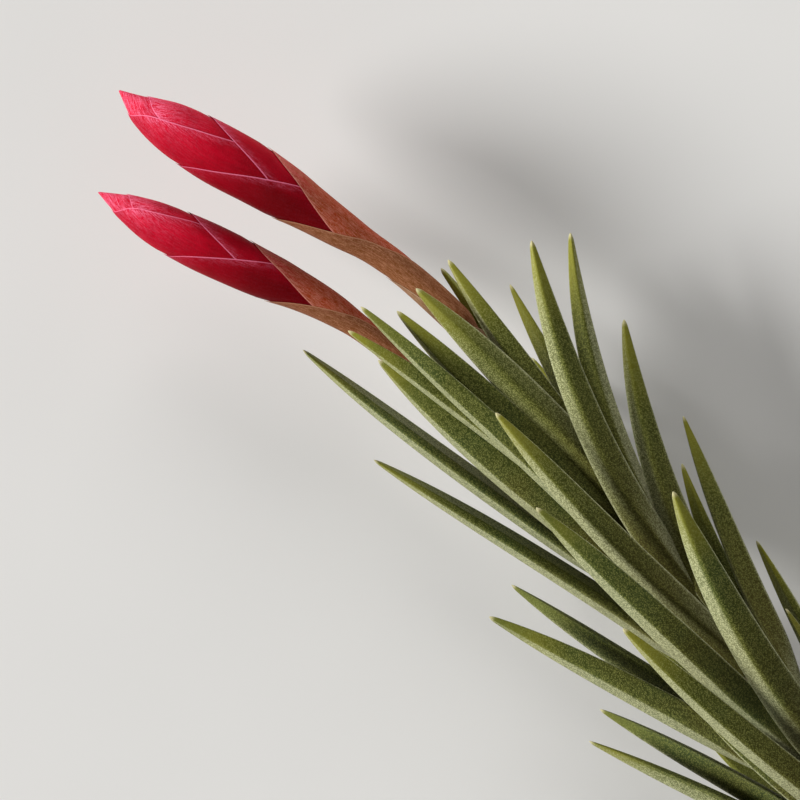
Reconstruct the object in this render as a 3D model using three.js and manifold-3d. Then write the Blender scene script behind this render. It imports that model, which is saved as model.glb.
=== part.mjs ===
// A cut shoot of a tillandsia: a short stem crowded with thick keeled leaves, and two flower spikes
// in overlapping bracts. It lies on its side on the leaves of its underside.
// Millimetres and degrees. The stem runs along X towards the flowers, and Z points up.
import * as THREE from "three";
import { mergeVertices } from "three/addons/utils/BufferGeometryUtils.js";
import Module from "manifold-3d";

const wasm = await Module();
wasm.setup();

// Stem
const STEM_LENGTH = 80;
const STEM_RADIUS = 2.3;
const STEM_SIDES = 16;
const STEM_DOME = 1.4;
const STEM_SHOULDER = [0.72, 0.35]; // of the dome: share of the radius, and of the way down
const GAP = 0.3; // between pieces that touch
const WELD = 1e-3; // corners nearer than this are one

// Leaves
const LEAF_SIDES = 8;
const LEAF_STEPS = 9;
const LEAF_CROWDING = 1.25; // above 1, the steps lie closer towards the tip
const LEAF_ROOT_WIDTH = 0.78; // share of the full width where the leaf leaves the stem
const LEAF_ROOT_DEPTH = 0.5;
const LEAF_FULL_AT = 0.28; // share of the length at which the leaf is widest
const LEAF_TURNED_AT = 0.5; // share of its length by which it has turned to its facing
const LEAF_TAPER = 10; // how far from the tip the leaf has most of its width
const LEAF_POINT = 0.3; // half width of the blunt tip
const LEAF_KEEL = 0.78; // height of the keel on the outer face, in half widths
const LEAF_FLANK = [0.55, 0.45]; // the outer face half way from the keel to the edge: across, and out
const LEAF_CHANNEL = -0.2; // the inner face along its middle
const LEAF_BELLY = -0.32; // the inner face beside the channel
const FLOOR = -16.6; // height of the lowest leaf tips, on which the plant lies, against the stem's axis

// Spikes
const BRACT_WALL = 0.25;
const BRACT_LAYER = 0.47; // a bract's wall and the space under it
const BRACT_FULL_RADIUS = 2.6; // where the spike is thinner than this, so are its layers
const BRACT_PRESS = [2.7, 0.5]; // an inner layer is pressed in between these distances above an outer tip
const BRACT_BLUNT = 0.25; // how much of the tip is missing
const BRACT_WRAP = 150; // a bract reaches this far round each side at most
const BRACT_ACROSS = 10;
const BRACT_ALONG = 9;
const BRACT_CROWDING = 0.8; // below 1, the steps lie closer towards the tip
const BUD_LENGTH = 16.5;
const BUD_POINT = 0.1; // least radius
const SCAPE_SIDES = 8;
const SCAPE_STEPS = 14;
const SCAPE_RADIUS = 0.8;
const SCAPE_CORE_RADIUS = 0.5; // inside the spike
const SCAPE_WIDENS = [44, 54]; // between these distances from the spike's tip

const GREEN = 0x5f7048;
const CRIMSON = 0xb5122f;
const BROWN = 0x8a5f42;

// Each leaf: where it grows on the stem (back from the stem's top, and degrees round it, 0 upwards and
// 90 to +Y), its tip, how far its middle bends across and up from a straight line, the way its keel faces
// along its outer half, and its width.
const LEAVES = [
  [9, 10, [51.3, 7.2, 7], [-0.3, 2.2], 35, 4.3],
  [2, -60, [48.4, -5.8, 5], [0.8, 1], 27, 5],
  [2.5, -85, [48.2, -4.4, 1], [0.3, -0.5], -10, 3.6],
  [5, 0, [50, 10.6, 5], [-1.4, 1.4], 36, 4.5],
  [24, 65, [6, 6.3, 3], [1, 0.3], 65, 4.8],
  [4, -40, [47.7, 3.9, 6], [0.4, 0.6], 33, 5.9],
  [5.5, -60, [48.3, 0, 7], [-0.9, 1], 2, 5.7],
  [6, -130, [40.5, -10.2, -7], [1.1, -0.5], -130, 5.2],
  [7, 20, [44.4, 10.1, 3], [1.1, 0.8], 37, 5.9],
  [7.5, 180, [36, -4, -10], [0, -1.5], 180, 4.6],
  [9, 120, [52.2, 16.9, -5], [0.6, 0.3], 112, 5.5],
  [9.5, -65, [40.4, -20.8, -1], [4.5, 0.8], -12, 4.3],
  [11.5, -35, [43, -15.8, 10], [4, 2], 12, 5.1],
  [13, -150, [31, -6, -15], [0, -1.5], -150, 4.8],
  [16, 175, [29, 3, FLOOR], [0, -1.5], 175, 5.2],
  [18.5, -60, [26.9, -18.4, 5], [3.5, 1.5], 12, 5],
  [20, -10, [28.8, 2.9, 13.5], [0.8, 2], 15, 4.9],
  [22, 115, [34.6, 19.4, -5], [-0.9, -0.3], 112, 5.6],
  [25, -160, [19, -7, FLOOR], [0, -1.5], -160, 5.2],
  [28, 145, [17, 7, FLOOR], [0.5, -1.5], 145, 5.2],
  [30, -95, [11.6, -16.2, -5], [0.7, -0.3], -60, 5.6],
  [34, 35, [15.8, 7.1, 16], [0.1, 1.8], 24, 5.6],
  [52, 55, [-16, 8.2, 7], [1, 0.5], 55, 5],
  [37, -140, [6.6, -12, -11], [2.2, -1], -135, 5.2],
  [39, 120, [9.4, 16.4, -9], [0.1, 0], 76, 6],
  [42, 75, [8.3, 21.5, -3], [-0.6, 0.3], 22, 4.9],
  [44, -20, [5.6, -8, 17.5], [2.5, 2], 17, 6.3],
  [46, 158, [-3, 7, FLOOR], [0, -1.5], 160, 5.2],
  [48, -95, [-10, -21, -2], [-1, 0], -90, 5.2],
  [51, -125, [-8, -12.8, -11], [-0.1, -1], -125, 5.4],
  [54, 10, [-3.8, 8.9, 17], [0.8, 1.5], 25, 5.2],
  [56, 105, [-11.4, 18.4, -10], [-0.7, 0], 72, 6.2],
  [46, -70, [-17, -9.5, -0.5], [-0.5, 0.2], -72, 5],
  [60, 95, [-13.4, 22.3, -5], [-1.1, 0], 90, 5.6],
  [62, -45, [-16, -15, 14], [-1, 1], -40, 5.6],
  [64, -112, [-20, -18, -8], [-1, -0.5], -110, 5.2],
  [68, 150, [-25, 10, FLOOR], [0.5, -1.5], 150, 5.2],
  [71, 60, [-31, 17, 9], [1, 1], 60, 5.4],
  [73, -155, [-32, -9, FLOOR], [-0.5, -1.5], -155, 5.2],
  [75, -65, [-34, -17, 7], [-1, 1], -65, 5.2],
  [77, 5, [-32, 0, 18], [0, 2], 10, 5.6],
];

// A spike's bracts, outermost first: the tip's distance from the spike's tip, the base's distance, the side
// that it grows on (0 for +Y, 180 for -Y), its half width when laid flat, and how fast it widens.
const BRACTS = [
  [44, 64, 0, 4.6, 6],
  [26.4, 49, 4, 5, 9],
  [21.2, 42, 176, 5.6, 6],
  [11.5, 36, -4, 7.2, 5.2],
  [11.9, 29.5, 184, 6.8, 5],
  [2.7, 23, 3, 8, 4],
  [3.3, 17, 178, 7, 4],
];

// The outline of a spike in overlapping bracts: distance from its tip, and radius.
const SPIKE_OUTLINE = [
  [0, 0.12],
  [2, 1.1],
  [4, 2.1],
  [7.8, 3.3],
  [11.7, 3.85],
  [15.7, 4.15],
  [21.2, 4.05],
  [26.5, 3.7],
  [30.1, 3.2],
  [35.8, 2.55],
  [39.4, 2.1],
  [44, 1.95],
  [52, 1.75],
  [64, 1.5],
];

// Each spike: its middle line from the stem's top to its tip, and its girth against the outline above.
const SPIKES = {
  upper: {
    line: [
      [-1, -0.8, 0.4],
      [12, -1.2, 1],
      [28.8, -1.8, 1.5],
      [40.8, -1.5, 2],
      [52.6, 0, 2.2],
      [61.9, 2.6, 2.4],
      [73.1, 5.95, 2.6],
      [79.8, 8.4, 2.7],
      [85.6, 10.4, 2.8],
      [90.4, 12, 2.9],
      [94.6, 12.7, 3],
    ],
    girth: 1,
  },
  lower: {
    line: [
      [-1, 1.5, -1.2],
      [14.1, 3.6, -1],
      [28.3, 5.9, -0.8],
      [42.5, 7.8, -0.5],
      [54.1, 10.4, 0],
      [66.3, 15.6, 0.4],
      [76.6, 20.1, 0.7],
      [86.2, 23.8, 1],
    ],
    girth: 0.84,
  },
};

const radians = THREE.MathUtils.degToRad;
const { lerp, smoothstep, clamp } = THREE.MathUtils;
const AXIS = new THREE.Vector3(1, 0, 0);
const UP = new THREE.Vector3(0, 0, 1);

// The direction away from the stem's axis at an angle round it.
function outward(angle) {
  return new THREE.Vector3(0, Math.sin(radians(angle)), Math.cos(radians(angle)));
}

// Moves every vertex of a closed geometry to the place that a function gives it, and welds the seams.
function shaped(geometry, place) {
  const positions = geometry.getAttribute("position");
  for (let i = 0; i < positions.count; i += 1) {
    const point = place(positions.getX(i), positions.getY(i), positions.getZ(i));
    positions.setXYZ(i, point.x, point.y, point.z);
  }
  geometry.deleteAttribute("normal");
  geometry.deleteAttribute("uv");
  return mergeVertices(geometry, WELD);
}

function solidOf(geometry) {
  return new wasm.Manifold(
    new wasm.Mesh({
      numProp: 3,
      vertProperties: geometry.getAttribute("position").array,
      triVerts: new Uint32Array(geometry.index.array),
    }),
  );
}

function geometryOf(solid) {
  const mesh = solid.getMesh();
  const geometry = new THREE.BufferGeometry();
  geometry.setAttribute("position", new THREE.BufferAttribute(mesh.vertProperties, 3));
  geometry.setIndex(new THREE.BufferAttribute(mesh.triVerts, 1));
  geometry.computeVertexNormals();
  return geometry;
}

// A leaf's cross-section in half widths: x across the leaf, y towards the outer face, from the keel round.
const [LEAF_SHOULDER, LEAF_SHOULDER_OUT] = LEAF_FLANK;
const LEAF_SECTION = [
  [0, LEAF_KEEL],
  [LEAF_SHOULDER, LEAF_SHOULDER_OUT],
  [1, 0],
  [LEAF_SHOULDER, LEAF_BELLY],
  [0, LEAF_CHANNEL],
  [-LEAF_SHOULDER, LEAF_BELLY],
  [-1, 0],
  [-LEAF_SHOULDER, LEAF_SHOULDER_OUT],
];

// A leaf with every face moved out by a margin, which is 0 for the leaf itself.
function leafGeometry([back, side, tip, [across, upward], facing, width], margin) {
  const root = AXIS.clone().multiplyScalar(-back).addScaledVector(outward(side), STEM_RADIUS + GAP);
  const end = new THREE.Vector3(...tip);
  const length = root.distanceTo(end);
  const bend = new THREE.Vector3(0, across, upward).multiplyScalar(4 / 3);
  const line = new THREE.CubicBezierCurve3(
    root,
    root.clone().lerp(end, 1 / 3).add(bend),
    root.clone().lerp(end, 2 / 3).add(bend),
    end,
  );
  const turn = ((facing - side + 540) % 360) - 180;
  const size = (t) => {
    const taper = (1 - Math.exp((-(1 - t) * length) / LEAF_TAPER)) / (1 - Math.exp(-length / LEAF_TAPER));
    const rise = lerp(LEAF_ROOT_WIDTH, 1, smoothstep(t, 0, LEAF_FULL_AT));
    return Math.max((width / 2) * taper * rise, LEAF_POINT) + margin;
  };
  const place = (x, y, z) => {
    const along = 1 - (0.5 - y) ** LEAF_CROWDING;
    const tangent = line.getTangent(along);
    const face = outward(side + turn * smoothstep(along, 0, LEAF_TURNED_AT));
    face.addScaledVector(tangent, -face.dot(tangent)).normalize();
    const across = new THREE.Vector3().crossVectors(face, tangent);
    const corner = Math.round((Math.atan2(x, z) / (2 * Math.PI)) * LEAF_SIDES + LEAF_SIDES) % LEAF_SIDES;
    const [u, v] = Math.hypot(x, z) < 0.5 ? [0, LEAF_KEEL / 3] : LEAF_SECTION[corner];
    const half = size(along);
    const depth = lerp(LEAF_ROOT_DEPTH, 1, smoothstep(along, 0, LEAF_FULL_AT));
    return line.getPoint(along).addScaledVector(across, -u * half).addScaledVector(face, v * half * depth);
  };
  return shaped(new THREE.CylinderGeometry(1, 1, 1, LEAF_SIDES, LEAF_STEPS), place);
}

// A straight round stem with a domed top and a plain cut at its lower end.
function stemGeometry(margin) {
  const radius = STEM_RADIUS + margin;
  const [across, down] = STEM_SHOULDER;
  const outline = [
    new THREE.Vector2(0, -STEM_LENGTH - margin),
    new THREE.Vector2(radius, -STEM_LENGTH - margin),
    new THREE.Vector2(radius, -STEM_DOME),
    new THREE.Vector2(radius * across, -STEM_DOME * down),
    new THREE.Vector2(0, margin),
  ];
  return shaped(new THREE.LatheGeometry(outline, STEM_SIDES), (x, y, z) => new THREE.Vector3(y, z, x));
}

// A spike's middle line, with its radius and the directions across it at a distance back from its tip.
function spikeFrame({ line, girth }) {
  const curve = new THREE.CatmullRomCurve3(line.map((p) => new THREE.Vector3(...p)));
  const length = curve.getLength();
  return {
    length,
    at(back) {
      const u = clamp(1 - back / length, 0, 1);
      const tangent = curve.getTangentAt(u);
      const side = new THREE.Vector3().crossVectors(UP, tangent).normalize();
      return { point: curve.getPointAt(u), side, top: new THREE.Vector3().crossVectors(tangent, side) };
    },
    radius(back) {
      const last = SPIKE_OUTLINE.length - 1;
      const next = clamp(SPIKE_OUTLINE.findIndex(([distance]) => distance > back), 1, last);
      const [from, low] = SPIKE_OUTLINE[next - 1];
      const [to, high] = SPIKE_OUTLINE[next];
      return girth * lerp(low, high, clamp((back - from) / (to - from), 0, 1));
    },
  };
}

// How thick the spike's layers are at a distance from its tip, against their full thickness.
function layerShare(spike, back) {
  return Math.min(1, spike.radius(back) / BRACT_FULL_RADIUS);
}

// How far a layer lies under the bracts outside it, which press it in from a little above their tips.
function depthUnder(spike, outer, back) {
  const layer = BRACT_LAYER * layerShare(spike, back);
  const [first, last] = BRACT_PRESS;
  return outer.reduce((depth, [tip]) => depth + layer * smoothstep(back, tip - first, tip - last), 0);
}

function onSpike(spike, back, angle, radius) {
  const { point, side, top } = spike.at(back);
  return point
    .addScaledVector(side, radius * Math.cos(radians(angle)))
    .addScaledVector(top, radius * Math.sin(radians(angle)));
}

// A bract is a pointed sheet wrapped round the spike from its own side.
function bractGeometry(spike, bract, outer) {
  const [tip, base, side, halfWidth, widening] = bract;
  const place = (x, y, z) => {
    const back = lerp(base, tip + BRACT_BLUNT, (y + 0.5) ** BRACT_CROWDING);
    const surface = spike.radius(back) - depthUnder(spike, outer, back);
    const wall = BRACT_WALL * layerShare(spike, back);
    const reach = (halfWidth * (1 - Math.exp(-(back - tip) / widening))) / spike.radius(back);
    const wrap = Math.min(THREE.MathUtils.radToDeg(reach), BRACT_WRAP);
    return onSpike(spike, back, side + 2 * x * wrap, surface - (0.5 - z) * wall);
  };
  return shaped(new THREE.BoxGeometry(1, 1, 1, BRACT_ACROSS, BRACT_ALONG, 1), place);
}

// The closed bud at the top of the spike, which all the bracts cover.
function budGeometry(spike) {
  const place = (x, y, z) => {
    const back = (0.5 - y) * BUD_LENGTH;
    const radius = Math.max(spike.radius(back) - depthUnder(spike, BRACTS, back), BUD_POINT);
    const angle = THREE.MathUtils.radToDeg(Math.atan2(x, z));
    return onSpike(spike, back, angle, Math.hypot(x, z) < 0.5 ? 0 : radius);
  };
  return shaped(new THREE.CylinderGeometry(1, 1, 1, BRACT_ACROSS, BRACT_ALONG), place);
}

// The stalk of a spike, from the top of the stem to just below the bud.
function scapeGeometry(spike, margin) {
  const first = BUD_LENGTH + GAP;
  const place = (x, y, z) => {
    const back = lerp(spike.length, first, y + 0.5);
    const widening = smoothstep(back, ...SCAPE_WIDENS);
    const radius = lerp(SCAPE_CORE_RADIUS, SCAPE_RADIUS, widening) + margin;
    const angle = THREE.MathUtils.radToDeg(Math.atan2(x, z));
    return onSpike(spike, back, angle, Math.hypot(x, z) < 0.5 ? 0 : radius);
  };
  return shaped(new THREE.CylinderGeometry(1, 1, 1, SCAPE_SIDES, SCAPE_STEPS), place);
}

function meshOf(name, solid, color, roughness) {
  const material = new THREE.MeshStandardMaterial({ color, roughness, metalness: 0 });
  const mesh = new THREE.Mesh(geometryOf(solid), material);
  mesh.name = name;
  return mesh;
}

// What is left of a solid in one piece when others are cut from it.
function trimmed(solid, cutters) {
  const rest = cutters.reduce((left, cutter) => left.subtract(cutter), solid);
  return rest.decompose().sort((a, b) => b.volume() - a.volume())[0];
}

const plant = new THREE.Group();
const placed = [solidOf(stemGeometry(GAP))];
plant.add(meshOf("stem", solidOf(stemGeometry(0)), BROWN, 0.9));

Object.entries(SPIKES).forEach(([name, shape]) => {
  const spike = spikeFrame(shape);
  const scape = trimmed(solidOf(scapeGeometry(spike, 0)), placed);
  plant.add(meshOf(`${name}_scape`, scape, BROWN, 0.7));
  BRACTS.forEach((bract, index) => {
    const solid = trimmed(solidOf(bractGeometry(spike, bract, BRACTS.slice(0, index))), placed);
    plant.add(meshOf(`${name}_bract_${index + 1}`, solid, index < 2 ? BROWN : CRIMSON, 0.5));
  });
  plant.add(meshOf(`${name}_bud`, solidOf(budGeometry(spike)), CRIMSON, 0.5));
  placed.push(solidOf(scapeGeometry(spike, SPIKE_OUTLINE.at(-1)[1] + GAP)));
});

LEAVES.forEach((leaf, index) => {
  const solid = trimmed(solidOf(leafGeometry(leaf, 0)), placed);
  placed.push(solidOf(leafGeometry(leaf, GAP)));
  plant.add(meshOf(`leaf_${String(index + 1).padStart(2, "0")}`, solid, GREEN, 0.75));
});

// The origin is the middle of the footprint, on the surface.
const box = new THREE.Box3().setFromObject(plant);
const middle = box.getCenter(new THREE.Vector3());
plant.position.set(-middle.x, -middle.y, -box.min.z);

export default plant;
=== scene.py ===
"""A cut tillandsia shoot, lying on a pale floor: keeled leaves covered in silvery scales all round a short
stem, and two closed flower spikes in overlapping crimson bracts. Sizes are in millimetres unless they say
otherwise, and are turned into metres where a point takes its place."""
import math
from bisect import bisect
from collections import namedtuple

import bmesh
import bpy
from bpy.props import FloatProperty, FloatVectorProperty, PointerProperty
from bpy.types import Operator, Panel, PropertyGroup
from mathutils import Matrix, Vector, noise


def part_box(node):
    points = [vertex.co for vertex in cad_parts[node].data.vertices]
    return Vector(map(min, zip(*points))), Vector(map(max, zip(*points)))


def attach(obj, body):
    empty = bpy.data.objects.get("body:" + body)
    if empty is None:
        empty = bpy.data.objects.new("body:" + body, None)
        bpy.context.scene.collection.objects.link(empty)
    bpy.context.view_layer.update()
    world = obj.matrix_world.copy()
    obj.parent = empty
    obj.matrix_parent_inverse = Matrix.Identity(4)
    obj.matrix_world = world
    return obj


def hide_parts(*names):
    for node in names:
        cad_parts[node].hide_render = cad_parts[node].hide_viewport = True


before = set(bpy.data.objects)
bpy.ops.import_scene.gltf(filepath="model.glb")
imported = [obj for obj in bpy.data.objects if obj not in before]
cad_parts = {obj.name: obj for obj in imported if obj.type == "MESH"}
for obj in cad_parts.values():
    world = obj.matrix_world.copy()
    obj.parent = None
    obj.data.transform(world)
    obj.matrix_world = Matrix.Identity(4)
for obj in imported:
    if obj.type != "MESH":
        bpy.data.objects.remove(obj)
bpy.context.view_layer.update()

bl_info = {
    "name": "Tillandsia shoot",
    "version": (1, 0, 0),
    "blender": (4, 5, 0),
    "location": "View3D > Sidebar > Tillandsia",
    "description": "Makes the leaves, stem and flower spikes of a cut tillandsia shoot, and a plain studio",
    "category": "Add Mesh",
}

MM = 0.001
WELD = 1e-6  # points closer than this, in metres, are one
CAP_INSET = 0.35  # of a round blank's caps, as a share of their radius
BODY = "root"

# The stem's axis runs along X, and its top is where the leaves' and spikes' places are counted from.
STEM_LOW, STEM_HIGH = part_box("stem")
STEM_RADIUS = (STEM_HIGH.z - STEM_LOW.z) / 2 / MM
STEM_LENGTH = (STEM_HIGH.x - STEM_LOW.x) / MM
STEM_TOP = Vector((STEM_HIGH.x, (STEM_LOW.y + STEM_HIGH.y) / 2, (STEM_LOW.z + STEM_HIGH.z) / 2))
UP = Vector((0, 0, 1))

# Leaves: where each grows (back from the stem's top, and degrees round the stem, 0 up and 90 to +Y), its
# tip, how far its middle bends to +Y and up, the way its keel faces along its outer half, and its width.
FLOOR = -16.6  # the height of a tip that rests on the floor
Leaf = namedtuple("Leaf", "back side tip bend facing width")
LEAVES = [
    Leaf(9, 10, (51.3, 7.2, 7), (-0.3, 2.2), 35, 4.3),
    Leaf(2, -60, (48.4, -5.8, 5), (0.8, 1), 27, 5),
    Leaf(2.5, -85, (48.2, -4.4, 1), (0.3, -0.5), -10, 3.6),
    Leaf(5, 0, (50, 10.6, 5), (-1.4, 1.4), 36, 4.5),
    Leaf(24, 65, (6, 6.3, 3), (1, 0.3), 65, 4.8),
    Leaf(4, -40, (47.7, 3.9, 6), (0.4, 0.6), 33, 5.9),
    Leaf(5.5, -60, (48.3, 0, 7), (-0.9, 1), 2, 5.7),
    Leaf(6, -130, (40.5, -10.2, -7), (1.1, -0.5), -130, 5.2),
    Leaf(7, 20, (44.4, 10.1, 3), (1.1, 0.8), 37, 5.9),
    Leaf(7.5, 180, (36, -4, -10), (0, -1.5), 180, 4.6),
    Leaf(9, 120, (52.2, 16.9, -5), (0.6, 0.3), 112, 5.5),
    Leaf(9.5, -65, (40.4, -20.8, -1), (4.5, 0.8), -12, 4.3),
    Leaf(11.5, -35, (43, -15.8, 10), (4, 2), 12, 5.1),
    Leaf(13, -150, (31, -6, -15), (0, -1.5), -150, 4.8),
    Leaf(16, 175, (29, 3, FLOOR), (0, -1.5), 175, 5.2),
    Leaf(18.5, -60, (26.9, -18.4, 5), (3.5, 1.5), 12, 5),
    Leaf(20, -10, (28.8, 2.9, 13.5), (0.8, 2), 15, 4.9),
    Leaf(22, 115, (34.6, 19.4, -5), (-0.9, -0.3), 112, 5.6),
    Leaf(25, -160, (19, -7, FLOOR), (0, -1.5), -160, 5.2),
    Leaf(28, 145, (17, 7, FLOOR), (0.5, -1.5), 145, 5.2),
    Leaf(30, -95, (11.6, -16.2, -5), (0.7, -0.3), -60, 5.6),
    Leaf(34, 35, (15.8, 7.1, 16), (0.1, 1.8), 24, 5.6),
    Leaf(52, 55, (-16, 8.2, 7), (1, 0.5), 55, 5),
    Leaf(37, -140, (6.6, -12, -11), (2.2, -1), -135, 5.2),
    Leaf(39, 120, (9.4, 16.4, -9), (0.1, 0), 76, 6),
    Leaf(42, 75, (8.3, 21.5, -3), (-0.6, 0.3), 22, 4.9),
    Leaf(44, -20, (5.6, -8, 17.5), (2.5, 2), 17, 6.3),
    Leaf(46, 158, (-3, 7, FLOOR), (0, -1.5), 160, 5.2),
    Leaf(48, -95, (-10, -21, -2), (-1, 0), -90, 5.2),
    Leaf(51, -125, (-8, -12.8, -11), (-0.1, -1), -125, 5.4),
    Leaf(54, 10, (-3.8, 8.9, 17), (0.8, 1.5), 25, 5.2),
    Leaf(56, 105, (-11.4, 18.4, -10), (-0.7, 0), 72, 6.2),
    Leaf(46, -70, (-17, -9.5, -0.5), (-0.5, 0.2), -72, 5),
    Leaf(60, 95, (-13.4, 22.3, -5), (-1.1, 0), 90, 5.6),
    Leaf(62, -45, (-16, -15, 14), (-1, 1), -40, 5.6),
    Leaf(64, -112, (-20, -18, -8), (-1, -0.5), -110, 5.2),
    Leaf(68, 150, (-25, 10, FLOOR), (0.5, -1.5), 150, 5.2),
    Leaf(71, 60, (-31, 17, 9), (1, 1), 60, 5.4),
    Leaf(73, -155, (-32, -9, FLOOR), (-0.5, -1.5), -155, 5.2),
    Leaf(75, -65, (-34, -17, 7), (-1, 1), -65, 5.2),
    Leaf(77, 5, (-32, 0, 18), (0, 2), 10, 5.6),
]
LEAF_GAP = 0.3  # between the stem and a leaf's middle line
LEAF_STEPS = 26
LEAF_CROWDING = 1.5  # above 1, the steps lie closer towards the tip
LEAF_OUTER = (0, 0.08, 0.36, 0.68, 0.95, 1)  # half widths from the keel to the edge
LEAF_INNER = (0.93, 0.55, 0.2, 0)  # and from there back to the middle of the inner face
LEAF_BELLY = 0.93  # how full the inner face is between its middle and its edges
LEAF_FULL_AT = 0.28  # share of its length at which a leaf is widest
LEAF_TURNED_AT = 0.5  # share of its length by which it has turned from its side of the stem to its facing
LEAF_ROOT_WIDTH = 0.78  # shares of its width and of its depth that it has where it leaves the stem
LEAF_ROOT_DEPTH = 0.5
LEAF_TAPER = 10  # how far from its tip it has most of its width
LEAF_POINT = 0.3  # half the width of its blunt tip
LEAF_POINT_LENGTH = 4  # how far from the tip that still tells
LEAF_POINT_ROUNDING = 0.5  # the length over which it rounds off
LEAF_LEAST = 0.05  # half the width that a leaf has at its very tip
LEAF_TONE_OF_SIDE = 0.6  # how much a leaf's tone depends on its side of the stem, and on its number
LEAF_TONE_OF_NUMBER = 0.4
LEAF_TONE_STEP = 2.4  # radians from one leaf's tone to the next one's

# Bracts, outermost first: where each has its tip, where its sheath has closed round the stalk, and its
# base, as distances from the spike's tip, the side it grows on (0 for +Y, 180 for -Y), how broad it is, and
# its finish.
Bract = namedtuple("Bract", "tip closed base side breadth finish")
BRACTS = [
    Bract(44, 62, 66, 0, 0.8, "straw"),
    Bract(26.4, 49, 60, 4, 1.05, "tan"),
    Bract(21.2, 45, 50, 176, 1.4, "salmon"),
    Bract(11.5, 37, 40, -4, 1.95, "crimson"),
    Bract(11.9, 34, 37, 184, 1.84, "crimson"),
    Bract(2.7, 27, 31, 3, 2.4, "crimson"),
    Bract(3.3, 24, 27, 178, 2.45, "crimson"),
]
BRACT_WALL = 0.09
BRACT_THIN = 0.4  # the margin's share of that thickness
BRACT_THINS_OVER = 0.7  # the distance from the margin where it has its full thickness
BRACT_LAYER = 0.1  # how far a bract sinks under each one outside it
BRACT_SPREAD = 1.2  # past its edge, a bract still presses the ones under it this far
BRACT_WRAP = math.radians(179.5)  # the furthest that an edge goes round from a bract's middle
BRACT_ACROSS = 48
BRACT_ALONG = 72
BRACT_CROWDING = 1.7  # above 1, the steps lie closer towards the tip
BRACT_POINT = 0.8  # how far from its tip a bract is drawn out to a point
BRACT_CLOSES_OVER = 8  # the length over which its two edges come together behind the stalk
BRACT_SEATS = 5  # the length over which a bract's base narrows to the stalk
TIP_LIFT = 0.04  # how far a bract's tip stands off the spike, and over which length
TIP_LIFTS_OVER = 3
MARGIN_LIFT = 0.01
MARGIN_LIFTS_OVER = 0.8
FULL_LAYERS_AT = 2.6  # the radius of spike under which its layers thin
FAR_FROM_MARGIN = 5  # given to the bud and the stalk, which have no margin
HEADING_SPAN = 0.5  # a spike's heading is taken between points this far to each side
BUD_LENGTH = 22
BUD_SINK = 0.02  # how far the bud lies under its innermost layer
BUD_LEAST = 0.1  # its least radius
BUD_CROWDING = 1.6
BUD_SEATS = 6  # the length over which its base narrows to the stalk
BUD_SIDES = 48
BUD_STEPS = 60
SCAPE_RADIUS = 0.8
SCAPE_CORE_RADIUS = 0.5  # inside the spike
SCAPE_WIDENS = (44, 54)  # distances from the spike's tip between which it widens
SCAPE_OVERLAP = 1  # how far it reaches into the bud, and how far from its line's root it ends
SCAPE_SIDES = 20
SCAPE_STEPS = 60

# The outline of a spike in overlapping bracts: distance from its tip, and radius.
SPIKE_OUTLINE = [
    (0, 0.12),
    (2, 1.1),
    (4, 2.1),
    (7.8, 3.3),
    (11.7, 3.85),
    (15.7, 4.15),
    (21.2, 4.05),
    (26.5, 3.7),
    (30.1, 3.2),
    (35.8, 2.55),
    (39.4, 2.1),
    (44, 1.98),
    (52, 2.05),
    (66, 1.9),
]

# Each spike's girth against that outline, and its middle line from the stem's top to its tip.
SPIKE_LINES = {
    "upper": (1, [
        (-1, -0.8, 0.4),
        (12, -1.2, 1),
        (28.8, -1.8, 1.5),
        (40.8, -1.5, 2),
        (52.6, 0, 2.2),
        (61.9, 2.6, 2.4),
        (73.1, 5.95, 2.6),
        (79.8, 8.4, 2.7),
        (85.6, 10.4, 2.8),
        (90.4, 12, 2.9),
        (94.6, 12.7, 3),
    ]),
    "lower": (0.84, [
        (-1, 1.5, -1.2),
        (14.1, 3.6, -1),
        (28.3, 5.9, -0.8),
        (42.5, 7.8, -0.5),
        (54.1, 10.4, 0),
        (66.3, 15.6, 0.4),
        (76.6, 20.1, 0.7),
        (86.2, 23.8, 1),
    ]),
}

# Stem: its domed top, its bark with grain and rings, and its rough cut.
STEM_SIDES = 32
STEM_STEPS = 90
STEM_DOME = 1.4  # the dome's length
STEM_DOME_TOP = 0.25  # the share of the radius that it starts with
BARK_RADIUS = 0.93  # as a share of the stem's radius, as its grain and its rings are
BARK_GRAIN = 0.05
BARK_RINGS = 0.02
GRAIN_FINENESS = 2.2  # round the stem
GRAIN_LENGTH = 9
GRAIN_BENDS_RINGS = 2  # how far, in radians of a ring's wave
RING_STEP = 2
CUT_RIM = 0.95  # the cut's surface is rough inside this share of the radius
CUT_ROUGHNESS = 0.18
CUT_FINENESS = 6

# The camera looks straight down, and is turned so that the stem runs up to the left in its view.
PIXEL = 0.135  # the size of a pixel of the photograph at the stem's axis
PHOTO_MIDDLE = (38.4, 11.4)  # ahead of the stem's top, and to +Y of its axis
CAMERA_TURN = math.radians(-130.9)
CAMERA_HEIGHT = 900  # above the stem's axis
PHOTO_PIXELS = 800
SENSOR = 36
CAMERA_SEES = (0.1, 20)  # nearest and furthest, in metres
FLOOR_REACH = 6  # from the middle to each side, in metres
DAYLIGHT = (1.0, 0.98, 0.94, 1)


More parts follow.
